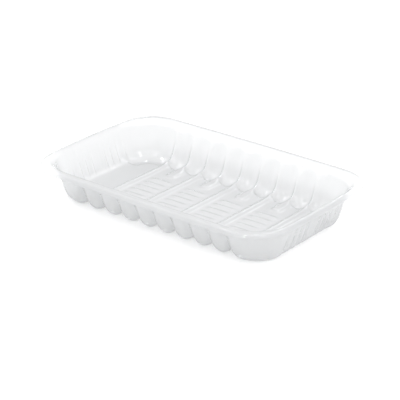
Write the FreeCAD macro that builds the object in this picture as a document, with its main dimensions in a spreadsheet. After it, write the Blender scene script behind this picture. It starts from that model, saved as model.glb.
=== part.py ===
"""Thermoformed clear plastic food tray: one sheet drawn down into a ribbed basin.

The tray is the difference of two forms, both made by the same functions. The
outer form follows the underside of the sheet, the inner form follows its upper
face, and every face of the inner form lies one sheet thickness inside the outer.
Frame: +X along the tray, +Y across it, +Z up, origin at the middle of the base.
"""
import FreeCAD
import Part
import math
import os
import Sketcher

doc = FreeCAD.newDocument("food_tray")
Vector = FreeCAD.Vector

# ---------------------------------------------------------------- driving sizes
# millimetres and degrees
DRIVING = {
    "sheet": 0.5,
    "tray_height": 38.0,
    # free edge: flat land, rolled over into a flared skirt
    "rim_length": 267.0,
    "rim_width": 170.6,
    "rim_corner": 31.0,
    "end_bow_radius": 900.0,
    "side_bow_radius": 4000.0,
    "roll_drop": 0.7,
    "roll_flare": 62.0,
    "skirt_drop": 4.0,
    "skirt_flare": 32.5,
    "land_length": 262.6,
    "land_width": 160.0,
    # basin wall
    "shoulder_height": 34.0,
    "shoulder_length": 260.0,
    "shoulder_width": 148.0,
    "wall_draft": 16.0,
    "collar_depth": 1.4,
    # row of lobes along each long wall
    "lobe_count": 10.0,
    "lobe_pitch": 20.5,
    "lobe_radius": 11.5,
    "toe_angle": 43.0,
    "toe_flat": 3.6,
    # creases between the lobes
    "crease_top_width": 146.8,
    "crease_draft": 27.5,
    "crease_nose_radius": 24.0,
    "core_overlap": 3.0,
    "short_crease_top": 24.0,
    "web_width": 18.0,
    # floor
    "floor_lift": 2.6,
    "floor_length": 216.0,
    "floor_width": 100.0,
    "floor_side_draft": 30.0,
    "rib_height": 1.9,
    "rib_width": 5.4,
    "rib_cut_height": 4.0,
    "tongue_width": 10.0,
    "tongue_end": 31.0,
    "ridge_count": 5.0,
    "ridge_pitch": 9.5,
    "ridge_length": 22.0,
    "ridge_width": 4.6,
    "ridge_height": 1.0,
    # end walls
    "end_floor_radius": 8.0,
    "end_panel_root": 88.0,
    "flute_pitch": 8.2,
    "flute_group_place": 17.4,
    "flute_top_width": 3.0,
    "flute_foot_width": 6.4,
    "flute_top_depth": 0.5,
    "flute_foot_depth": 2.8,
}

sheet = doc.addObject("Spreadsheet::Sheet", "Sizes")
for row, (word, number) in enumerate(DRIVING.items(), start=1):
    sheet.set("A%d" % row, word)
    sheet.set("B%d" % row, str(number))
    sheet.setAlias("B%d" % row, word)
doc.recompute()


class Size:
    """A length or angle that carries its number and the sheet expression for it."""

    def __init__(self, value, text):
        self.value = float(value)
        self.text = text

    @staticmethod
    def of(thing):
        return thing if isinstance(thing, Size) else Size(thing, repr(float(thing)))

    def __add__(self, other):
        other = Size.of(other)
        return Size(self.value + other.value, "(%s + %s)" % (self.text, other.text))

    def __sub__(self, other):
        other = Size.of(other)
        return Size(self.value - other.value, "(%s - %s)" % (self.text, other.text))

    def __mul__(self, other):
        other = Size.of(other)
        return Size(self.value * other.value, "(%s * %s)" % (self.text, other.text))

    def __truediv__(self, other):
        other = Size.of(other)
        return Size(self.value / other.value, "(%s / %s)" % (self.text, other.text))

    def __neg__(self):
        return Size(-self.value, "(-1 * %s)" % self.text)


def size(word):
    return Size(DRIVING[word], "Sizes.%s" % word)


def sin(angle):
    return Size(math.sin(math.radians(angle.value)), "sin(%s * 1 deg)" % angle.text)


def cos(angle):
    return Size(math.cos(math.radians(angle.value)), "cos(%s * 1 deg)" % angle.text)


def tan(angle):
    return Size(math.tan(math.radians(angle.value)), "tan(%s * 1 deg)" % angle.text)


def bind(target, prop, value):
    """Tie one property to the sheet."""
    target.setExpression(prop, value.text)


# ------------------------------------------------------------------- sketching
def origin_plane(body, role):
    for feature in body.Origin.OriginFeatures:
        if feature.Role == role:
            return feature
    raise RuntimeError("no plane " + role)


def new_body(name):
    return doc.addObject("PartDesign::Body", name)


def body_sketch(body, name, role, offset=None):
    """Sketch on one of the body's own origin planes, moved off it by offset."""
    sketch = body.newObject("Sketcher::SketchObject", name)
    sketch.AttachmentSupport = (origin_plane(body, role), [""])
    sketch.MapMode = "FlatFace"
    if offset is not None:
        sketch.AttachmentOffset = FreeCAD.Placement(Vector(0, 0, offset.value), FreeCAD.Rotation())
        bind(sketch, ".AttachmentOffset.Base.z", offset)
    return sketch


def free_sketch(name, height):
    """Level sketch that stands outside any body, for a loft section."""
    sketch = doc.addObject("Sketcher::SketchObject", name)
    sketch.Placement = FreeCAD.Placement(Vector(0, 0, height.value), FreeCAD.Rotation())
    bind(sketch, ".Placement.Base.z", height)
    return sketch


def fix_point(sketch, geometry, place, x, y):
    """Hold a point at x, y from the sketch origin, both driven by the sheet."""
    for kind, axis, value in (("DistanceX", -2, x), ("DistanceY", -1, y)):
        if value.value == 0:
            sketch.addConstraint(Sketcher.Constraint("PointOnObject", geometry, place, axis))
        else:
            index = sketch.addConstraint(
                Sketcher.Constraint(kind, -1, 1, geometry, place, value.value))
            bind(sketch, "Constraints[%d]" % index, value)


def fix_radius(sketch, geometry, radius):
    index = sketch.addConstraint(Sketcher.Constraint("Radius", geometry, radius.value))
    bind(sketch, "Constraints[%d]" % index, radius)


def draw_outline(sketch, corners):
    """Closed outline through corners (x, y, radius or None), round where a radius is given."""
    count = len(corners)
    sharp = [Vector(x.value, y.value, 0) for x, y, _ in corners]
    area = sum(sharp[i - 1].x * sharp[i].y - sharp[i].x * sharp[i - 1].y for i in range(count))
    if area < 0:
        # arcs are kept counter-clockwise, so the outline is walked that way too
        corners = corners[::-1]
        sharp = sharp[::-1]
    starts, ends, arcs = [], [], []
    for i, (x, y, radius) in enumerate(corners):
        if radius is None:
            starts.append(sharp[i])
            ends.append(sharp[i])
            arcs.append(None)
            continue
        before = (sharp[i - 1] - sharp[i]).normalize()
        after = (sharp[(i + 1) % count] - sharp[i]).normalize()
        half = before.getAngle(after) / 2
        reach = radius.value / math.tan(half)
        middle = (before + after).normalize()
        centre = sharp[i] + middle * (radius.value / math.sin(half))
        near = sharp[i] + before * reach
        far = sharp[i] + after * reach
        arcs.append(Part.Arc(near, centre - middle * radius.value, far))
        ends.append(near)
        starts.append(far)
    lines = []
    for i in range(count):
        line = Part.LineSegment(starts[i], ends[(i + 1) % count])
        lines.append(sketch.addGeometry(line, False))
    for i, (x, y, radius) in enumerate(corners):
        arriving, leaving = lines[i - 1], lines[i]
        if radius is None:
            sketch.addConstraint(Sketcher.Constraint("Coincident", arriving, 2, leaving, 1))
            fix_point(sketch, leaving, 1, x, y)
            continue
        arc = sketch.addGeometry(arcs[i], False)
        geometry = sketch.Geometry[arc]
        first, second = (1, 2) if (geometry.StartPoint - ends[i]).Length < 1e-6 else (2, 1)
        sketch.addConstraint(Sketcher.Constraint("Tangent", arriving, 2, arc, first))
        sketch.addConstraint(Sketcher.Constraint("Tangent", arc, second, leaving, 1))
        corner = sketch.addGeometry(Part.Point(sharp[i]), True)
        sketch.addConstraint(Sketcher.Constraint("PointOnObject", corner, 1, arriving))
        sketch.addConstraint(Sketcher.Constraint("PointOnObject", corner, 1, leaving))
        fix_point(sketch, corner, 1, x, y)
        fix_radius(sketch, arc, radius)


def draw_rectangle(sketch, half_x, half_y, radius=None):
    draw_outline(sketch, [(half_x, half_y, radius), (-half_x, half_y, radius),
                          (-half_x, -half_y, radius), (half_x, -half_y, radius)])


def draw_clipped_box(sketch, x, y, half_x, half_y, clip):
    """Rectangle round x, y with its four corners cut off."""
    corners = []
    for turn_x, turn_y in ((-1, -1), (1, -1), (1, 1), (-1, 1)):
        beside = (x + (half_x - clip) * turn_x, y + half_y * turn_y, None)
        above = (x + half_x * turn_x, y + (half_y - clip) * turn_y, None)
        corners += [above, beside] if turn_x == turn_y else [beside, above]
    draw_outline(sketch, corners)


def draw_rim(sketch, offset):
    """Outline of the free edge: four slightly bowed sides joined by four round corners.

    offset grows the outline outward by that much all round.
    """
    end_radius = size("end_bow_radius") + offset
    side_radius = size("side_bow_radius") + offset
    corner_radius = size("rim_corner") + offset
    end_centre = size("rim_length") / 2 - size("end_bow_radius")
    side_centre = size("rim_width") / 2 - size("side_bow_radius")
    # corner centre: one fixed distance from each of the two bow centres
    reach_end = end_radius.value - corner_radius.value
    reach_side = side_radius.value - corner_radius.value
    apart = Vector(-end_centre.value, side_centre.value, 0)
    gap = apart.Length
    along = (reach_end ** 2 - reach_side ** 2 + gap ** 2) / (2 * gap)
    across = math.sqrt(reach_end ** 2 - along ** 2)
    towards = apart.normalize()
    corner = (Vector(end_centre.value, 0, 0) + towards * along
              + Vector(-towards.y, towards.x, 0) * across)
    end_angle = math.atan2(corner.y, corner.x - end_centre.value)
    side_angle = math.atan2(corner.y - side_centre.value, corner.x)
    quarter = math.pi / 2
    plans = []
    for turn, radius, centre in ((0, end_radius, (end_centre, None)),
                                 (1, side_radius, (None, side_centre)),
                                 (2, end_radius, (-end_centre, None)),
                                 (3, side_radius, (None, -side_centre))):
        spread = end_angle if turn % 2 == 0 else quarter - side_angle
        x = centre[0].value if centre[0] else 0.0
        y = centre[1].value if centre[1] else 0.0
        plans.append((Vector(x, y, 0), radius, turn * quarter - spread, turn * quarter + spread, centre))
        sign_x = 1 if turn in (0, 3) else -1
        sign_y = 1 if turn in (0, 1) else -1
        start = (end_angle, math.pi - side_angle, math.pi + end_angle, 2 * math.pi - side_angle)[turn]
        finish = (side_angle, math.pi - end_angle, math.pi + side_angle, 2 * math.pi - end_angle)[turn]
        plans.append((Vector(sign_x * corner.x, sign_y * corner.y, 0), corner_radius, start, finish, None))
    arcs = []
    for middle, radius, start, finish, _ in plans:
        circle = Part.Circle(middle, Vector(0, 0, 1), radius.value)
        arcs.append(sketch.addGeometry(Part.ArcOfCircle(circle, start, finish), False))
    for i, arc in enumerate(arcs):
        sketch.addConstraint(Sketcher.Constraint("Tangent", arc, 2, arcs[(i + 1) % len(arcs)], 1))
    for arc, (_, radius, _, _, centre) in zip(arcs, plans):
        fix_radius(sketch, arc, radius)
        if centre is None:
            continue
        zero = Size(0, "0")
        fix_point(sketch, arc, 3, centre[0] or zero, centre[1] or zero)


# -------------------------------------------------------------------- features
def pad(body, sketch, name, length, taper=None, both_ways=False, reverse=False):
    feature = body.newObject("PartDesign::Pad", name)
    feature.Profile = sketch
    feature.Length = length.value
    bind(feature, "Length", length)
    feature.Midplane = both_ways
    feature.Reversed = reverse
    if taper is not None:
        feature.TaperAngle = taper.value
        bind(feature, "TaperAngle", taper)
    sketch.Visibility = False
    return feature


def row_along_x(body, name, originals, spacing, count):
    """Repeat features along X, centred on where they were drawn at the first place."""
    pattern = body.newObject("PartDesign::LinearPattern", name)
    pattern.Originals = originals
    pattern.Direction = (origin_plane(body, "X_Axis"), [""])
    pattern.Mode = "Spacing"
    pattern.Offset = spacing.value
    bind(pattern, "Offset", spacing)
    pattern.Occurrences = int(round(count.value))
    bind(pattern, "Occurrences", count)
    pattern.Refine = False
    body.Tip = pattern
    return pattern


def mirror(source, name, normal):
    copy = doc.addObject("Part::Mirroring", name)
    copy.Source = source
    copy.Normal = normal
    return copy


def join(name, pieces):
    """Fuse the pieces one after another."""
    whole = pieces[0]
    for number, piece in enumerate(pieces[1:], start=1):
        union = doc.addObject("Part::Fuse", "%s_%d" % (name, number))
        union.Base = whole
        union.Tool = piece
        union.Refine = False
        whole = union
    return whole


def gather(name, pieces):
    """Hold pieces that do not touch as one tool."""
    group = doc.addObject("Part::Compound", name)
    group.Links = pieces
    return group


def cut(name, base, tool):
    difference = doc.addObject("Part::Cut", name)
    difference.Base = base
    difference.Tool = tool
    difference.Refine = False
    return difference


ACROSS = Vector(0, 1, 0)
ALONG = Vector(1, 0, 0)


# -------------------------------------------------------------- the basin form
def wall_inset(height, skin):
    """How far the drafted wall stands inside the shoulder line at this height."""
    draft = size("wall_draft")
    return (size("shoulder_height") - height) * tan(draft) + skin / cos(draft)


def corner_place():
    """Centre of the basin's corner rounding: level with the last lobe of the row."""
    x = size("lobe_pitch") * (size("lobe_count") - 1) / 2
    y = size("shoulder_width") / 2 - (size("shoulder_length") / 2 - x)
    return x, y


def shoulder_section(name, height, skin):
    inset = wall_inset(height, skin)
    half_x = size("shoulder_length") / 2
    half_y = size("shoulder_width") / 2
    sketch = free_sketch(name, height)
    draw_rectangle(sketch, half_x - inset, half_y - inset, half_x - corner_place()[0] - inset)
    return sketch


def land_section(name, height, grow):
    """Inner edge of the flat land round the top."""
    half_x = size("land_length") / 2 + grow
    half_y = size("land_width") / 2 + grow
    sketch = free_sketch(name, height)
    draw_rectangle(sketch, half_x, half_y, size("shoulder_length") / 2 - corner_place()[0] + grow)
    return sketch


def make_collar(tag, skin):
    """Sloping flange from the land down to the shoulder, and the plain band below it."""
    top = size("tray_height")
    shoulder = size("shoulder_height")
    below = shoulder - size("collar_depth")
    if skin.value == 0:
        # underside: lower by about one sheet, and let into the land above
        under_top = top - size("sheet")
        overlap = size("sheet")
        sections = [shoulder_section(tag + "_band", below, skin),
                    shoulder_section(tag + "_shoulder", shoulder - size("sheet"), skin),
                    land_section(tag + "_land", under_top, overlap),
                    land_section(tag + "_land_top", top - size("sheet") / 5, overlap)]
    else:
        clear = size("sheet")
        sections = [shoulder_section(tag + "_band", below, skin),
                    shoulder_section(tag + "_shoulder", shoulder, skin),
                    land_section(tag + "_land", top, clear * 0),
                    land_section(tag + "_land_top", top + 1, clear * 0)]
    loft = doc.addObject("Part::Loft", tag + "_collar")
    loft.Sections = sections
    loft.Solid = True
    loft.Ruled = True
    return loft


def toe_section(skin):
    """Section of a lobe's foot: distance out from its axis, and height, from the base up.

    The corners stand on a circle that touches the drafted wall and the base plane.
    """
    radius = size("lobe_radius") - skin
    height = size("lobe_radius")
    toe = size("toe_angle")
    draft = size("wall_draft")
    return [(size("toe_flat") - skin * tan(toe / 2), skin),
            (radius * cos(toe), height - radius * sin(toe)),
            (radius * cos(draft), height - radius * sin(draft))]


def lobe_axis_inset():
    """How far the lobes' axes stand inside the shoulder line."""
    return wall_inset(size("lobe_radius"), size("lobe_radius"))


def make_lobes(tag, skin):
    """Row of lobes: cones that open upward with the wall's own draft, on a rounded foot."""
    centre_y = size("shoulder_width") / 2 - lobe_axis_inset()
    top = size("shoulder_height") - size("sheet")
    body = new_body(tag + "_lobe_row")
    first = -size("lobe_pitch") * (size("lobe_count") - 1) / 2
    sketch = body_sketch(body, tag + "_lobe_section", "YZ_Plane", first)
    outline = [(centre_y, skin, None)]
    for out, height in toe_section(skin):
        outline.append((centre_y + out, height, None))
    outline.append((size("shoulder_width") / 2 - wall_inset(top, skin), top, None))
    outline.append((centre_y, top, None))
    draw_outline(sketch, outline)
    turned = body.newObject("PartDesign::Revolution", tag + "_lobe")
    turned.Profile = sketch
    turned.ReferenceAxis = (sketch, ["Edge%d" % len(outline)])
    turned.Angle = 360
    turned.Refine = False
    sketch.Visibility = False
    doc.recompute()
    row_along_x(body, tag + "_lobes", [turned], size("lobe_pitch"), size("lobe_count"))
    return [body, mirror(body, tag + "_lobe_row_far", ACROSS)]


def make_corners(tag, skin):
    """Corner sweeps: the lobe's own section carried round a quarter turn."""
    centre_x, centre_y = corner_place()
    ball_x = size("shoulder_length") / 2 - lobe_axis_inset()
    top = size("shoulder_height") - size("sheet")
    near = new_body(tag + "_corner")
    sketch = body_sketch(near, tag + "_corner_section", "XZ_Plane", -centre_y)
    toe = toe_section(skin)
    outline = [(centre_x, toe[1][1], None)]
    for out, height in (toe[1], toe[0]):
        outline.append((ball_x - out, height, None))
    for out, height in toe:
        outline.append((ball_x + out, height, None))
    outline.append((size("shoulder_length") / 2 - wall_inset(top, skin), top, None))
    outline.append((centre_x, top, None))
    draw_outline(sketch, outline)
    turned = near.newObject("PartDesign::Revolution", tag + "_corner_sweep")
    turned.Profile = sketch
    turned.ReferenceAxis = (sketch, ["Edge%d" % len(outline)])
    turned.Angle = 90
    turned.Reversed = True
    sketch.Visibility = False
    far = mirror(near, tag + "_corner_far", ACROSS)
    left = mirror(near, tag + "_corner_left", ALONG)
    left_far = mirror(far, tag + "_corner_left_far", ALONG)
    return [near, far, left, left_far]


def crease_line(height, skin):
    """Half width between the creases' crests at this height."""
    draft = size("crease_draft")
    drop = size("shoulder_height") - height
    return size("crease_top_width") / 2 - drop * tan(draft) - skin / cos(draft)


def make_core(tag, skin):
    """Body between the long walls, as wide as the crests of the creases."""
    body = new_body(tag + "_core")
    sketch = body_sketch(body, tag + "_core_section", "YZ_Plane")
    top = size("shoulder_height") - size("sheet") / 2
    base = size("floor_lift") + size("rib_height") + skin
    head = crease_line(top, skin)
    foot = crease_line(base, skin)
    nose = size("crease_nose_radius") - skin
    draw_outline(sketch, [(head, top, None), (-head, top, None),
                          (-foot, base, nose), (foot, base, nose)])
    length = (corner_place()[0] + size("core_overlap")) * 2
    pad(body, sketch, tag + "_core_pad", length, both_ways=True)
    return [body]


def make_webs(tag, skin):
    """Flat webs that close the upper part of every second crease."""
    body = new_body(tag + "_web_row")
    first = -size("lobe_pitch") * (size("lobe_count") / 2 - 2)
    sketch = body_sketch(body, tag + "_web_section", "YZ_Plane", first)
    top = size("shoulder_height") - size("sheet")
    head = size("shoulder_width") / 2 - wall_inset(top, skin) - size("sheet") / 2
    low = size("short_crease_top")
    foot = crease_line(low, skin)
    root = foot - size("lobe_radius")
    draw_outline(sketch, [(root, top, None), (head, top, None), (foot, low, None), (root, low, None)])
    web = pad(body, sketch, tag + "_web", size("web_width"), both_ways=True)
    return body, web


def make_floor(tag, skin):
    """Floor panels, less the cross ribs, tongues and fine ridges pressed up into them."""
    draft = size("floor_side_draft")
    inset = skin / cos(draft) - skin * tan(draft)
    level = size("floor_lift") + skin
    thick = size("rib_cut_height") + size("sheet") * 2
    body = new_body(tag + "_floor")
    sketch = body_sketch(body, tag + "_floor_outline", "XY_Plane", level)
    draw_rectangle(sketch, size("floor_length") / 2 - inset, size("floor_width") / 2 - inset)
    pad(body, sketch, tag + "_floor_pad", thick, taper=draft)
    doc.recompute()
    return [cut(tag + "_ribbed_floor", body, make_pressings(tag, skin, level, inset, draft))]


def make_pressings(tag, skin, level, inset, draft):
    """What is pressed up into the floor: cross ribs, tongues and fine ridges."""
    depth = size("rib_cut_height") - skin
    closing = -draft
    bay = size("lobe_pitch") * 2
    rib_places = size("lobe_count") / 2
    first_rib = -bay * (rib_places - 1) / 2
    first_bay = first_rib + bay / 2
    reach = size("floor_width") / 2 + bay
    body = new_body(tag + "_pressings")
    # one rib at the first place, repeated to the last
    half_rib = size("rib_width") / 2 + inset
    sketch = body_sketch(body, tag + "_rib_outline", "XY_Plane", level)
    draw_outline(sketch, [(first_rib - half_rib, -reach, None), (first_rib + half_rib, -reach, None),
                          (first_rib + half_rib, reach, None), (first_rib - half_rib, reach, None)])
    rib = pad(body, sketch, tag + "_rib", depth, taper=closing)
    doc.recompute()
    row_along_x(body, tag + "_ribs", [rib], bay, rib_places)
    # the tails of the short creases, one at each side of every bay
    half_tongue = size("tongue_width") / 2 + inset
    end = size("tongue_end") - inset
    clip = half_tongue * 0.5
    tails = new_body(tag + "_tongues")
    sketch = body_sketch(tails, tag + "_tongue_outline", "XY_Plane", level)
    for side in (1, -1):
        draw_outline(sketch, [(first_bay - half_tongue, reach * side, None),
                              (first_bay - half_tongue, (end + clip) * side, None),
                              (first_bay - half_tongue + clip, end * side, None),
                              (first_bay + half_tongue - clip, end * side, None),
                              (first_bay + half_tongue, (end + clip) * side, None),
                              (first_bay + half_tongue, reach * side, None)])
    tail = pad(tails, sketch, tag + "_tongue", depth, taper=closing)
    # the fine ridges between two ribs
    ridges = int(round(size("ridge_count").value))
    half_x = size("ridge_length") / 2 + inset
    half_y = size("ridge_width") / 2 + inset
    lines = new_body(tag + "_ridges")
    sketch = body_sketch(lines, tag + "_ridge_outline", "XY_Plane", level)
    for i in range(ridges):
        y = size("ridge_pitch") * (i - (ridges - 1) / 2)
        draw_clipped_box(sketch, first_bay, y, half_x, half_y, half_y * 0.6)
    line = pad(lines, sketch, tag + "_ridge", size("ridge_height"), taper=closing)
    doc.recompute()
    row_along_x(tails, tag + "_tongue_row", [tail], bay, rib_places - 1)
    row_along_x(lines, tag + "_ridge_row", [line], bay, rib_places - 1)
    return gather(tag + "_pressed_up", [body, tails, lines])


def make_ends(tag, skin):
    """End walls: the drafted panel, its rounded foot and the floor behind it."""
    body = new_body(tag + "_end")
    sketch = body_sketch(body, tag + "_end_section", "XZ_Plane")
    top = size("shoulder_height") - size("sheet") / 2
    base = size("floor_lift") + skin
    head = size("shoulder_length") / 2 - wall_inset(top, skin)
    foot = size("shoulder_length") / 2 - wall_inset(base, skin)
    root = size("end_panel_root")
    draw_outline(sketch, [(root, top, None), (head, top, None),
                          (foot, base, size("end_floor_radius") - skin), (root, base, None)])
    pad(body, sketch, tag + "_end_panel", corner_place()[1] * 2, both_ways=True)
    return [body, mirror(body, tag + "_end_left", ALONG)]


def flute_section(name, place, height, depth, width, skin):
    """Level section of a flute: a blunt wedge that points into the tray."""
    wall = size("shoulder_length") / 2 - wall_inset(height, skin * 0)
    half = width / 2 + skin
    crest = wall - depth - skin
    sketch = free_sketch(name, height)
    draw_outline(sketch, [(crest, place - half * 0.35, None), (wall + 3, place - half * 1.6, None),
                          (wall + 3, place + half * 1.6, None), (crest, place + half * 0.35, None)])
    return sketch


def make_flutes(tag, skin):
    """Creases of the end walls: blunt wedges laid into the wall, deeper toward the floor."""
    top = size("shoulder_height") - size("collar_depth") + skin
    places = [corner_place()[1]]
    for step in (-1, 0, 1):
        places.append(size("flute_group_place") + size("flute_pitch") * step)
    wedges = []
    for number, place in enumerate(places, start=1):
        name = "%s_flute_%d" % (tag, number)
        foot = flute_section(name + "_foot", place, size("sheet") * -2, size("flute_foot_depth"),
                             size("flute_foot_width"), skin)
        head = flute_section(name + "_head", place, top, size("flute_top_depth"),
                             size("flute_top_width"), skin)
        wedge = doc.addObject("Part::Loft", name)
        wedge.Sections = [foot, head]
        wedge.Solid = True
        wedge.Ruled = True
        wedges.append(wedge)
    far = gather(tag + "_flutes_far", wedges)
    end = gather(tag + "_flutes_end", [far, mirror(far, tag + "_flutes_near", ACROSS)])
    return [end, mirror(end, tag + "_flutes_left", ALONG)]


def make_form(tag, skin):
    """One face of the sheet as a solid; skin sets it inward from the underside."""
    webs, web = make_webs(tag, skin)
    doc.recompute()
    row_along_x(webs, tag + "_webs", [web], size("lobe_pitch") * 2, size("lobe_count") / 2 - 1)
    pieces = make_core(tag, skin)
    pieces += make_lobes(tag, skin)
    pieces += make_ends(tag, skin)
    pieces += make_corners(tag, skin)
    pieces += [webs, mirror(webs, tag + "_webs_far", ACROSS)]
    pieces += [make_collar(tag, skin)]
    wall = join(tag + "_join", pieces)
    fluted = cut(tag + "_fluted", wall, gather(tag + "_flutes", make_flutes(tag, skin)))
    return join(tag + "_form", [fluted] + make_floor(tag, skin))


def make_rim():
    """Flat land that rolls over into the flared skirt, as two flares one below the other."""
    roll = size("roll_flare")
    flare = size("skirt_flare")
    drop = size("roll_drop")
    shells = []
    for tag, skin in (("rim_over", size("sheet") * 0), ("rim_under", size("sheet"))):
        # where the sloping faces, set inward by skin, meet the land and each other
        knee = drop + skin * ((Size.of(1) / cos(roll) - Size.of(1) / cos(flare)) / (tan(roll) - tan(flare)))
        body = new_body(tag)
        for number, (start, finish, angle) in enumerate(((skin, knee, roll), (knee, size("skirt_drop"), flare))):
            sketch = body_sketch(body, "%s_outline_%d" % (tag, number), "XY_Plane", size("tray_height") - start)
            draw_rim(sketch, start * tan(roll) - skin / cos(roll))
            pad(body, sketch, "%s_flare_%d" % (tag, number), finish - start, taper=angle, reverse=True)
            doc.recompute()
        shells.append(body)
    return cut("rim", shells[0], shells[1])


underside = join("underside", [make_form("outer", size("sheet") * 0), make_rim()])
doc.recompute()
tray = cut("tray", underside, make_form("inner", size("sheet")))
tray.Label = "tray"
doc.recompute()

for thing in doc.Objects:
    for word in ("Invalid", "Error"):
        if word in thing.State:
            raise RuntimeError("%s is not valid" % thing.Name)
shape = tray.Shape
if shape.isNull() or not shape.isValid() or len(shape.Solids) != 1:
    raise RuntimeError("the tray is not one valid solid")
os.makedirs("parts", exist_ok=True)
shape.exportStep("parts/%s.step" % tray.Label)
box = shape.BoundBox
print("tray", round(box.XLength, 2), round(box.YLength, 2), round(box.ZLength, 2),
      "volume", round(shape.Volume), "faces", len(shape.Faces), "base", round(box.ZMin, 3))
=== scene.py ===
"""Studio scene of a clear thermoformed food tray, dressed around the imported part."""

from __future__ import annotations

import logging
import math
from dataclasses import dataclass, field
from enum import Enum

import bpy
import numpy as np
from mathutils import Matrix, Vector
from mathutils.bvhtree import BVHTree

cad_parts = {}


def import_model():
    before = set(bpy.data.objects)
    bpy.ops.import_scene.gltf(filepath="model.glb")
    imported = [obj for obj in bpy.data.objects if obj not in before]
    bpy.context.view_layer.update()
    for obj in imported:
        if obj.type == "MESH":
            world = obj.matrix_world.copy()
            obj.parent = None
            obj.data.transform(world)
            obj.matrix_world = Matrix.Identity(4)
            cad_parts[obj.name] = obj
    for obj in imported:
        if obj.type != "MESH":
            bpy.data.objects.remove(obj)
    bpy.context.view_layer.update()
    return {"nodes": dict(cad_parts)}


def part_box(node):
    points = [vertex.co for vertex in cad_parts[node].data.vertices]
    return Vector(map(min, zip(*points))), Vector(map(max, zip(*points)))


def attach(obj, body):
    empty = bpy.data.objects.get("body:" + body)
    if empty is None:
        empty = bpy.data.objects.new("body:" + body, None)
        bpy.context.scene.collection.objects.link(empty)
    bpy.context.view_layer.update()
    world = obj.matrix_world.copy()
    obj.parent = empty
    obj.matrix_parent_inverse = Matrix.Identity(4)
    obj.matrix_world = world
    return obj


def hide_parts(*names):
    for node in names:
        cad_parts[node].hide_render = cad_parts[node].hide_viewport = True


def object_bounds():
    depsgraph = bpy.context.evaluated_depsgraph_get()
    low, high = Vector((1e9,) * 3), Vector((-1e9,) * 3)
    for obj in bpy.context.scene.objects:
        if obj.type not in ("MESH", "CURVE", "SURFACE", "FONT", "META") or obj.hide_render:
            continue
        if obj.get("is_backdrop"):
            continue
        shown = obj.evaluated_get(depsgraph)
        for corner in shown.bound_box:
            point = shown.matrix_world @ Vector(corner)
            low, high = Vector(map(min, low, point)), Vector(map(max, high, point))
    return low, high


LOG = logging.getLogger("tray_scene")


class Slot(Enum):
    """Material slots of the part."""

    TRAY = "tray"


class Role(Enum):
    """What a lamp does for the picture."""

    KEY = "key"
    FILL = "fill"


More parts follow.
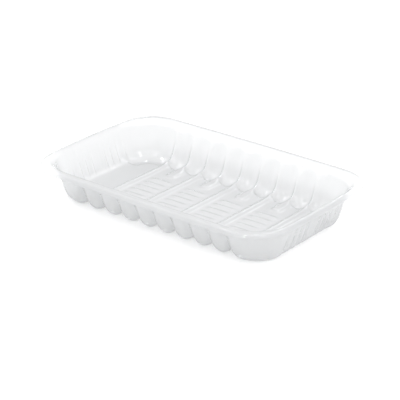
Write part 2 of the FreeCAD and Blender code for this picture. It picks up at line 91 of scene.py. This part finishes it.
# --------------------------------------------------------------------- finishes
@dataclass(frozen=True)
class ClearSheet:
    """Clear glossy plastic sheet: lets light through, mirrors a little of the studio.

    The whole sheet is shaded where light enters it; the far face lets light straight out.
    """

    tint: tuple[float, float, float] = (0.80, 0.805, 0.81)
    haze: tuple[float, float, float] = (0.65, 0.655, 0.66)
    haze_share: float = 0.5
    gloss: tuple[float, float, float] = (0.80, 0.805, 0.81)
    mirror_least: float = 0.08
    mirror_growth: float = 0.85
    mirror_power: float = 4.0
    gloss_roughness: float = 0.05
    ripple_scale: float = 34.0
    ripple_height: float = 0.00006
    ripple_detail: float = 2.0

    def build(self, name: str) -> bpy.types.Material:
        """Makes the node material.

        Args:
            name: the material's name.

        Returns:
            The new material.
        """
        material = bpy.data.materials.new(name)
        material.use_nodes = True
        tree = material.node_tree
        tree.nodes.clear()
        output = tree.nodes.new("ShaderNodeOutputMaterial")
        clear = tree.nodes.new("ShaderNodeBsdfTransparent")
        clear.inputs["Color"].default_value = (*self.tint, 1.0)
        gloss = tree.nodes.new("ShaderNodeBsdfGlossy")
        gloss.inputs["Color"].default_value = (*self.gloss, 1.0)
        gloss.inputs["Roughness"].default_value = self.gloss_roughness
        haze = tree.nodes.new("ShaderNodeBsdfDiffuse")
        haze.inputs["Color"].default_value = (*self.haze, 1.0)
        away = tree.nodes.new("ShaderNodeBsdfTransparent")
        away.inputs["Color"].default_value = (1.0, 1.0, 1.0, 1.0)
        bump = self._ripple(tree)
        tree.links.new(bump.outputs["Normal"], gloss.inputs["Normal"])
        mirrored = self._mirror_share(tree, bump)
        body = self._mix(tree, clear, haze)
        body.inputs["Fac"].default_value = self.haze_share
        coat = self._mix(tree, body, gloss)
        tree.links.new(mirrored.outputs["Value"], coat.inputs["Fac"])
        faced = self._mix(tree, coat, away)
        side = tree.nodes.new("ShaderNodeNewGeometry")
        tree.links.new(side.outputs["Backfacing"], faced.inputs["Fac"])
        tree.links.new(faced.outputs["Shader"], output.inputs["Surface"])
        return material

    def _mix(
        self, tree: bpy.types.NodeTree, first: bpy.types.Node, second: bpy.types.Node
    ) -> bpy.types.Node:
        """Adds a mix of two shaders.

        Args:
            tree: the material's node tree.
            first: the shader that shows where the share is nothing.
            second: the shader that shows where the share is whole.

        Returns:
            The mix node.
        """
        mix = tree.nodes.new("ShaderNodeMixShader")
        tree.links.new(first.outputs[0], mix.inputs[1])
        tree.links.new(second.outputs[0], mix.inputs[2])
        return mix

    def _mirror_share(self, tree: bpy.types.NodeTree, bump: bpy.types.Node) -> bpy.types.Node:
        """Adds the share of light that is mirrored, which grows toward a glancing look.

        Args:
            tree: the material's node tree.
            bump: the node that gives the surface's direction.

        Returns:
            The node whose Value is the share.
        """
        facing = tree.nodes.new("ShaderNodeLayerWeight")
        facing.inputs["Blend"].default_value = 0.5
        tree.links.new(bump.outputs["Normal"], facing.inputs["Normal"])
        power = tree.nodes.new("ShaderNodeMath")
        power.operation = "POWER"
        power.inputs[1].default_value = self.mirror_power
        tree.links.new(facing.outputs["Facing"], power.inputs[0])
        share = tree.nodes.new("ShaderNodeMath")
        share.operation = "MULTIPLY_ADD"
        share.inputs[1].default_value = self.mirror_growth
        share.inputs[2].default_value = self.mirror_least
        share.use_clamp = True
        tree.links.new(power.outputs["Value"], share.inputs[0])
        return share

    def _ripple(self, tree: bpy.types.NodeTree) -> bpy.types.Node:
        """Adds the faint unevenness that drawing leaves in the sheet.

        Args:
            tree: the material's node tree.

        Returns:
            The bump node.
        """
        place = tree.nodes.new("ShaderNodeTexCoord")
        noise = tree.nodes.new("ShaderNodeTexNoise")
        noise.inputs["Scale"].default_value = self.ripple_scale
        noise.inputs["Detail"].default_value = self.ripple_detail
        bump = tree.nodes.new("ShaderNodeBump")
        bump.inputs["Distance"].default_value = self.ripple_height
        bump.inputs["Strength"].default_value = 1.0
        tree.links.new(place.outputs["Object"], noise.inputs["Vector"])
        tree.links.new(noise.outputs["Fac"], bump.inputs["Height"])
        return bump


@dataclass(frozen=True)
class StudioPaper:
    """Plain pale studio floor with a breath of unevenness."""

    pale: tuple[float, float, float] = (0.97, 0.97, 0.97)
    deep: tuple[float, float, float] = (0.96, 0.96, 0.96)
    roughness: float = 0.9
    grain_scale: float = 3.0

    def build(self, name: str) -> bpy.types.Material:
        """Makes the node material.

        Args:
            name: the material's name.

        Returns:
            The new material.
        """
        material = bpy.data.materials.new(name)
        material.use_nodes = True
        tree = material.node_tree
        shader = tree.nodes["Principled BSDF"]
        shader.inputs["Roughness"].default_value = self.roughness
        shader.inputs["Specular IOR Level"].default_value = 0.0
        noise = tree.nodes.new("ShaderNodeTexNoise")
        noise.inputs["Scale"].default_value = self.grain_scale
        mix = tree.nodes.new("ShaderNodeMixRGB")
        mix.inputs["Color1"].default_value = (*self.pale, 1.0)
        mix.inputs["Color2"].default_value = (*self.deep, 1.0)
        tree.links.new(noise.outputs["Fac"], mix.inputs["Fac"])
        tree.links.new(mix.outputs["Color"], shader.inputs["Base Color"])
        return material


# ------------------------------------------------------------------ formed sheet
@dataclass
class FormedSheet:
    """The tray as one soft-edged sheet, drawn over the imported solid.

    Lines of points run out from a hub rectangle to the free edge: straight out from
    its sides and fanned out from its corners. Each point is let down on to the solid.
    """

    solid: bpy.types.Object
    hub_x: float = 0.09225
    hub_y: float = 0.03625
    pitch: float = 0.0205
    gaps_per_lobe: int = 18
    end_gaps: int = 62
    corner_gaps: int = 34
    rows: int = 60
    probes: int = 420
    sheet: float = 0.0005
    softening: int = 4
    calming: int = 3
    bend_weight: float = 0.0022
    crease_pull: float = 0.45
    farthest: float = 0.08
    halvings: int = 22
    edge_margin: float = 2e-6
    clearance: float = 0.01
    tree: BVHTree = field(init=False)
    top: float = field(init=False)

    def __post_init__(self) -> None:
        """Prepares the solid for finding heights on it."""
        graph = bpy.context.evaluated_depsgraph_get()
        self.tree = BVHTree.FromObject(self.solid, graph)
        self.top = max(corner[2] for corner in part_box(self.solid.name))

    def height(self, x: float, y: float) -> float | None:
        """Height of the solid's upper face under a point, or None beside the solid.

        Args:
            x: place along the tray.
            y: place across the tray.

        Returns:
            The height in metres, or None.
        """
        hit = self.tree.ray_cast(Vector((x, y, self.top + self.clearance)), Vector((0.0, 0.0, -1.0)))
        return None if hit[0] is None else hit[0].z

    def hub_lines(self) -> tuple[np.ndarray, np.ndarray]:
        """Places of the lines that cross the hub, closer together at the creases.

        Returns:
            The places along X and along Y.
        """
        lobes = round(2 * self.hub_x / self.pitch)
        phase = np.linspace(0.0, 1.0, self.gaps_per_lobe + 1)[:-1]
        eased = phase + self.crease_pull * np.sin(2 * np.pi * phase) / (2 * np.pi)
        along = []
        for lobe in range(lobes):
            along.extend(-self.hub_x + (lobe + eased) * self.pitch)
        along.append(self.hub_x)
        across = np.linspace(-self.hub_y, self.hub_y, self.end_gaps + 1)
        return np.array(along), across

    def columns(self) -> tuple[np.ndarray, np.ndarray]:
        """Roots on the hub's outline and the directions in which the columns run out.

        Returns:
            Roots and unit directions, one row for each column, going round once.
        """
        along, across = self.hub_lines()
        roots: list[tuple[float, float]] = []
        ways: list[tuple[float, float]] = []

        def side(points: list[tuple[float, float]], way: tuple[float, float]) -> None:
            """Adds the columns of one straight side."""
            roots.extend(points)
            ways.extend([way] * len(points))

        def corner(x: float, y: float, start: float) -> None:
            """Adds the inner columns of one fan.

            Args:
                x: the hub corner's place along the tray.
                y: the hub corner's place across the tray.
                start: the angle of the side before it, in radians.
            """
            for step in range(1, self.corner_gaps):
                angle = start + 0.5 * math.pi * step / self.corner_gaps
                roots.append((x, y))
                ways.append((math.cos(angle), math.sin(angle)))

        side([(self.hub_x, y) for y in across], (1.0, 0.0))
        corner(self.hub_x, self.hub_y, 0.0)
        side([(x, self.hub_y) for x in along[::-1]], (0.0, 1.0))
        corner(-self.hub_x, self.hub_y, 0.5 * math.pi)
        side([(-self.hub_x, y) for y in across[::-1]], (-1.0, 0.0))
        corner(-self.hub_x, -self.hub_y, math.pi)
        side([(x, -self.hub_y) for x in along], (0.0, -1.0))
        corner(self.hub_x, -self.hub_y, 1.5 * math.pi)
        return np.array(roots), np.array(ways)

    def reach(self, root: np.ndarray, way: np.ndarray) -> float:
        """Distance from a root out to the free edge.

        Args:
            root: where the column starts.
            way: its direction.

        Returns:
            The distance in metres.
        """
        near, far = 0.0, self.farthest
        for _ in range(self.halvings):
            middle = 0.5 * (near + far)
            place = root + way * middle
            if self.height(place[0], place[1]) is None:
                far = middle
            else:
                near = middle
        return near - self.edge_margin

    def column(self, root: np.ndarray, way: np.ndarray) -> tuple[np.ndarray, np.ndarray]:
        """Probes one column.

        Args:
            root: where the column starts.
            way: its direction.

        Returns:
            Distances out from the root, and heights.
        """
        out = np.linspace(0.0, self.reach(root, way), self.probes)
        heights = np.zeros_like(out)
        for i, distance in enumerate(out):
            place = root + way * distance
            found = self.height(place[0], place[1])
            heights[i] = heights[i - 1] if found is None else found
        return out, heights

    def share_out(self, out: np.ndarray, heights: np.ndarray) -> np.ndarray:
        """Distances of the rows along one column, closer together where the sheet bends.

        Args:
            out: probed distances.
            heights: probed heights.

        Returns:
            One distance for each row.
        """
        step = np.diff(out)
        rise = np.diff(heights)
        length = np.hypot(step, rise)
        slope = np.arctan2(rise, step)
        bend = np.zeros_like(length)
        bend[1:] = np.abs(np.diff(slope))
        cost = np.concatenate([[0.0], np.cumsum(length + self.bend_weight * bend)])
        return np.interp(np.linspace(0.0, cost[-1], self.rows + 1), cost, out)

    def build(self, name: str) -> bpy.types.Object:
        """Makes the sheet's mesh.

        Args:
            name: name of the new object.

        Returns:
            The new object, linked into the scene.
        """
        roots, ways = self.columns()
        count = len(roots)
        probed = [self.column(root, way) for root, way in zip(roots, ways)]
        rows = np.array([self.share_out(out, heights) for out, heights in probed])
        rows = self._calm(rows)
        points = np.zeros((count, self.rows + 1, 3))
        for i in range(count):
            out, heights = probed[i]
            points[i, :, :2] = roots[i] + ways[i] * rows[i][:, None]
            points[i, :, 2] = np.interp(rows[i], out, heights)
        along, across = self.hub_lines()
        hub = np.zeros((len(along), len(across), 3))
        for i, x in enumerate(along):
            for j, y in enumerate(across):
                hub[i, j] = (x, y, self.height(x, y))
        vertices, quads, edge = self._weave(points, hub)
        vertices = self._soften(vertices, quads, edge)
        return self._thicken(name, vertices, quads, edge)

    def _calm(self, rows: np.ndarray) -> np.ndarray:
        """Evens the rows out from column to column; the first and last row stay.

        Args:
            rows: distances of the rows, column by column.

        Returns:
            The evened distances.
        """
        calmed = rows
        for _ in range(self.calming):
            calmed = (np.roll(calmed, 1, axis=0) + 2 * calmed + np.roll(calmed, -1, axis=0)) / 4
        calmed[:, 0] = rows[:, 0]
        calmed[:, -1] = rows[:, -1]
        return calmed

    def _weave(
        self, points: np.ndarray, hub: np.ndarray
    ) -> tuple[np.ndarray, np.ndarray, np.ndarray]:
        """Joins the columns and the hub into one net.

        Args:
            points: column points, column by column.
            hub: points of the hub.

        Returns:
            Vertices, quads, and the vertices along the free edge.
        """
        count, rows = points.shape[0], points.shape[1]
        wide, deep = hub.shape[0], hub.shape[1]
        hub_id = np.arange(wide * deep).reshape(wide, deep)
        vertices = [hub.reshape(-1, 3)]
        ring_id = np.zeros((count, rows), dtype=np.int64)
        ring_id[:, 1:] = wide * deep + np.arange(count * (rows - 1)).reshape(count, rows - 1)
        vertices.append(points[:, 1:].reshape(-1, 3))
        outline = []
        outline += [hub_id[-1, j] for j in range(deep)]
        outline += [hub_id[-1, -1]] * (self.corner_gaps - 1)
        outline += [hub_id[i, -1] for i in range(wide - 1, -1, -1)]
        outline += [hub_id[0, -1]] * (self.corner_gaps - 1)
        outline += [hub_id[0, j] for j in range(deep - 1, -1, -1)]
        outline += [hub_id[0, 0]] * (self.corner_gaps - 1)
        outline += [hub_id[i, 0] for i in range(wide)]
        outline += [hub_id[-1, 0]] * (self.corner_gaps - 1)
        ring_id[:, 0] = outline
        quads = []
        for i in range(wide - 1):
            for j in range(deep - 1):
                quads.append(
                    (hub_id[i, j], hub_id[i + 1, j], hub_id[i + 1, j + 1], hub_id[i, j + 1])
                )
        for i in range(count):
            after = (i + 1) % count
            for j in range(rows - 1):
                quads.append(
                    (ring_id[i, j], ring_id[i, j + 1], ring_id[after, j + 1], ring_id[after, j])
                )
        return np.vstack(vertices), np.array(quads), ring_id[:, -1]

    def _soften(self, vertices: np.ndarray, quads: np.ndarray, edge: np.ndarray) -> np.ndarray:
        """Rounds the creases a little, as a drawn sheet has them; the free edge stays.

        Args:
            vertices: points of the net.
            quads: its faces.
            edge: the vertices along the free edge.

        Returns:
            The moved points.
        """
        count = len(vertices)
        pairs = np.vstack([quads[:, (0, 1)], quads[:, (1, 2)], quads[:, (2, 3)], quads[:, (3, 0)]])
        pairs = pairs[pairs[:, 0] != pairs[:, 1]]
        held = np.zeros(count, dtype=bool)
        held[edge] = True
        for _ in range(self.softening):
            total = np.zeros_like(vertices)
            number = np.zeros(count)
            for first, second in ((0, 1), (1, 0)):
                np.add.at(total, pairs[:, first], vertices[pairs[:, second]])
                np.add.at(number, pairs[:, first], 1.0)
            moved = 0.5 * vertices + 0.5 * total / number[:, None]
            moved[held] = vertices[held]
            vertices = moved
        return vertices

    def _thicken(
        self, name: str, vertices: np.ndarray, quads: np.ndarray, edge: np.ndarray
    ) -> bpy.types.Object:
        """Gives the net the sheet's thickness, underneath, and closes it along the free edge.

        Args:
            name: name of the new object.
            vertices: points of the net.
            quads: its faces.
            edge: the vertices along the free edge.

        Returns:
            The new object, linked into the scene.
        """
        upper = bpy.data.meshes.new(name + "_upper")
        faces = [tuple(dict.fromkeys(int(v) for v in quad)) for quad in quads]
        upper.from_pydata(vertices.tolist(), [], faces)
        normals = np.zeros((len(vertices), 3))
        for index, vertex in enumerate(upper.vertices):
            normals[index] = vertex.normal
        bpy.data.meshes.remove(upper)
        lower = vertices - normals * self.sheet
        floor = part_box(self.solid.name)[0][2]
        lower[:, 2] = np.maximum(lower[:, 2], floor)
        shift = len(vertices)
        under = [tuple(v + shift for v in reversed(face)) for face in faces]
        count = len(edge)
        wall = []
        for i in range(count):
            a, b = int(edge[i]), int(edge[(i + 1) % count])
            if a != b:
                wall.append((a, a + shift, b + shift, b))
        mesh = bpy.data.meshes.new(name)
        mesh.from_pydata(np.vstack([vertices, lower]).tolist(), [], faces + under + wall)
        mesh.polygons.foreach_set("use_smooth", [True] * len(mesh.polygons))
        mesh.update()
        thing = bpy.data.objects.new(name, mesh)
        bpy.context.scene.collection.objects.link(thing)
        return thing


# ------------------------------------------------------------------------ studio
@dataclass(frozen=True)
class Lamp:
    """A far soft lamp whose light falls evenly over the whole floor."""

    role: Role
    azimuth: float
    elevation: float
    spread: float
    strength: float
    distance: float = 2.0

    def build(self) -> bpy.types.Object:
        """Hangs the lamp.

        Returns:
            The lamp, linked into the scene.
        """
        data = bpy.data.lights.new("lamp_" + self.role.value, "SUN")
        data.angle = math.radians(self.spread)
        data.energy = self.strength
        lamp = bpy.data.objects.new(data.name, data)
        bpy.context.scene.collection.objects.link(lamp)
        back = direction(self.azimuth, self.elevation)
        lamp.location = back * self.distance
        lamp.rotation_euler = back.to_track_quat("Z", "Y").to_euler()
        return lamp


def direction(azimuth: float, elevation: float) -> Vector:
    """Unit vector from the tray toward a viewer at these angles.

    Args:
        azimuth: degrees round the tray; 0 looks along +Y.
        elevation: degrees above the level.

    Returns:
        The unit vector.
    """
    around, above = math.radians(azimuth), math.radians(elevation)
    level = math.cos(above)
    return Vector((math.sin(around) * level, -math.cos(around) * level, math.sin(above)))


@dataclass(frozen=True)
class Strip:
    """A long narrow light panel that stands upright, far off, and draws lines of light."""

    azimuth: float
    elevation: float
    width: float
    height: float
    power: float
    distance: float = 6.0

    def build(self, name: str) -> bpy.types.Object:
        """Hangs the panel.

        Args:
            name: name of the new light.

        Returns:
            The panel, linked into the scene.
        """
        data = bpy.data.lights.new(name, "AREA")
        data.shape = "RECTANGLE"
        data.size = self.width
        data.size_y = self.height
        data.energy = self.power
        panel = bpy.data.objects.new(name, data)
        bpy.context.scene.collection.objects.link(panel)
        back = direction(self.azimuth, self.elevation)
        panel.location = back * self.distance
        panel.rotation_euler = back.to_track_quat("Z", "Y").to_euler()
        return panel


@dataclass
class Studio:
    """Floor, sky, lights and camera."""

    azimuth: float = 38.632
    elevation: float = 24.132
    distance: float = 1.381797
    lens: float = 144.309
    target: tuple[float, float, float] = (0.041973, -0.051564, 0.038)
    sky: float = 1.0
    horizon: float = 0.8
    bright_from: float = 0.85
    floor_half: float = 6.0
    floor_gap: float = 0.0002
    sensor: float = 36.0
    farthest_seen: float = 50.0
    lamps: tuple[Lamp, ...] = (
        Lamp(Role.FILL, 200.0, 78.0, 6.0, 0.35),
        Lamp(Role.KEY, -50.0, 58.0, 5.0, 0.3),
    )
    strips: tuple[Strip, ...] = (
        Strip(-75.0, 42.0, 0.22, 5.0, 50.0),
        Strip(5.0, 50.0, 0.22, 4.0, 50.0),
        Strip(72.0, 42.0, 0.22, 5.0, 50.0),
        Strip(130.0, 42.0, 0.22, 5.0, 50.0),
        Strip(195.0, 42.0, 0.22, 5.0, 50.0),
    )

    def build(self) -> None:
        """Sets up everything round the tray."""
        self._floor()
        self._sky()
        for lamp in self.lamps:
            LOG.info("lamp: %s", lamp.build().name)
        for number, strip in enumerate(self.strips):
            LOG.info("light panel: %s", strip.build("strip_%d" % number).name)
        self._camera()
        LOG.info("camera: %.1f mm lens", self.lens)

    def _floor(self) -> None:
        """Lays the pale floor."""
        mesh = bpy.data.meshes.new("floor")
        half = self.floor_half
        corners = [(-half, -half, 0), (half, -half, 0), (half, half, 0), (-half, half, 0)]
        mesh.from_pydata(corners, [], [(0, 1, 2, 3)])
        floor = bpy.data.objects.new("floor", mesh)
        bpy.context.scene.collection.objects.link(floor)
        floor.location.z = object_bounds()[0][2] - self.floor_gap
        mesh.materials.append(StudioPaper().build("studio_paper"))
        floor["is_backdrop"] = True
        LOG.info("floor: %.0f m wide", 2 * half)

    def _sky(self) -> None:
        """Fills the room with even light, brighter overhead than near the level."""
        world = bpy.data.worlds.new("studio")
        world.use_nodes = True
        background = world.node_tree.nodes["Background"]
        background.inputs["Strength"].default_value = self.sky
        tree = world.node_tree
        place = tree.nodes.new("ShaderNodeTexCoord")
        split = tree.nodes.new("ShaderNodeSeparateXYZ")
        ramp = tree.nodes.new("ShaderNodeValToRGB")
        ramp.color_ramp.elements[0].position = 0.0
        ramp.color_ramp.elements[0].color = (*(self.horizon,) * 3, 1.0)
        ramp.color_ramp.elements[1].position = self.bright_from
        ramp.color_ramp.elements[1].color = (1.0, 1.0, 1.0, 1.0)
        tree.links.new(place.outputs["Generated"], split.inputs["Vector"])
        tree.links.new(split.outputs["Z"], ramp.inputs["Fac"])
        tree.links.new(ramp.outputs["Color"], background.inputs["Color"])
        bpy.context.scene.world = world
        bpy.context.scene.view_settings.view_transform = "Standard"

    def _camera(self) -> None:
        """Stands the camera."""
        data = bpy.data.cameras.new("camera")
        data.sensor_width = self.sensor
        data.lens = self.lens
        data.clip_end = self.farthest_seen
        camera = bpy.data.objects.new("camera", data)
        bpy.context.scene.collection.objects.link(camera)
        back = direction(self.azimuth, self.elevation)
        camera.location = Vector(self.target) + back * self.distance
        camera.rotation_euler = back.to_track_quat("Z", "Y").to_euler()
        bpy.context.scene.camera = camera


def main() -> None:
    """Builds the dressed tray and its studio."""
    logging.basicConfig(level=logging.INFO, format="%(message)s")
    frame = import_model()
    solid = frame["nodes"][Slot.TRAY.value]
    sheet = FormedSheet(solid).build("formed_sheet")
    sheet.data.materials.append(ClearSheet().build("clear_sheet"))
    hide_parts(Slot.TRAY.value)
    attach(sheet, "root")
    LOG.info("formed sheet: %d faces", len(sheet.data.polygons))
    Studio().build()


if __name__ == "__main__":
    main()
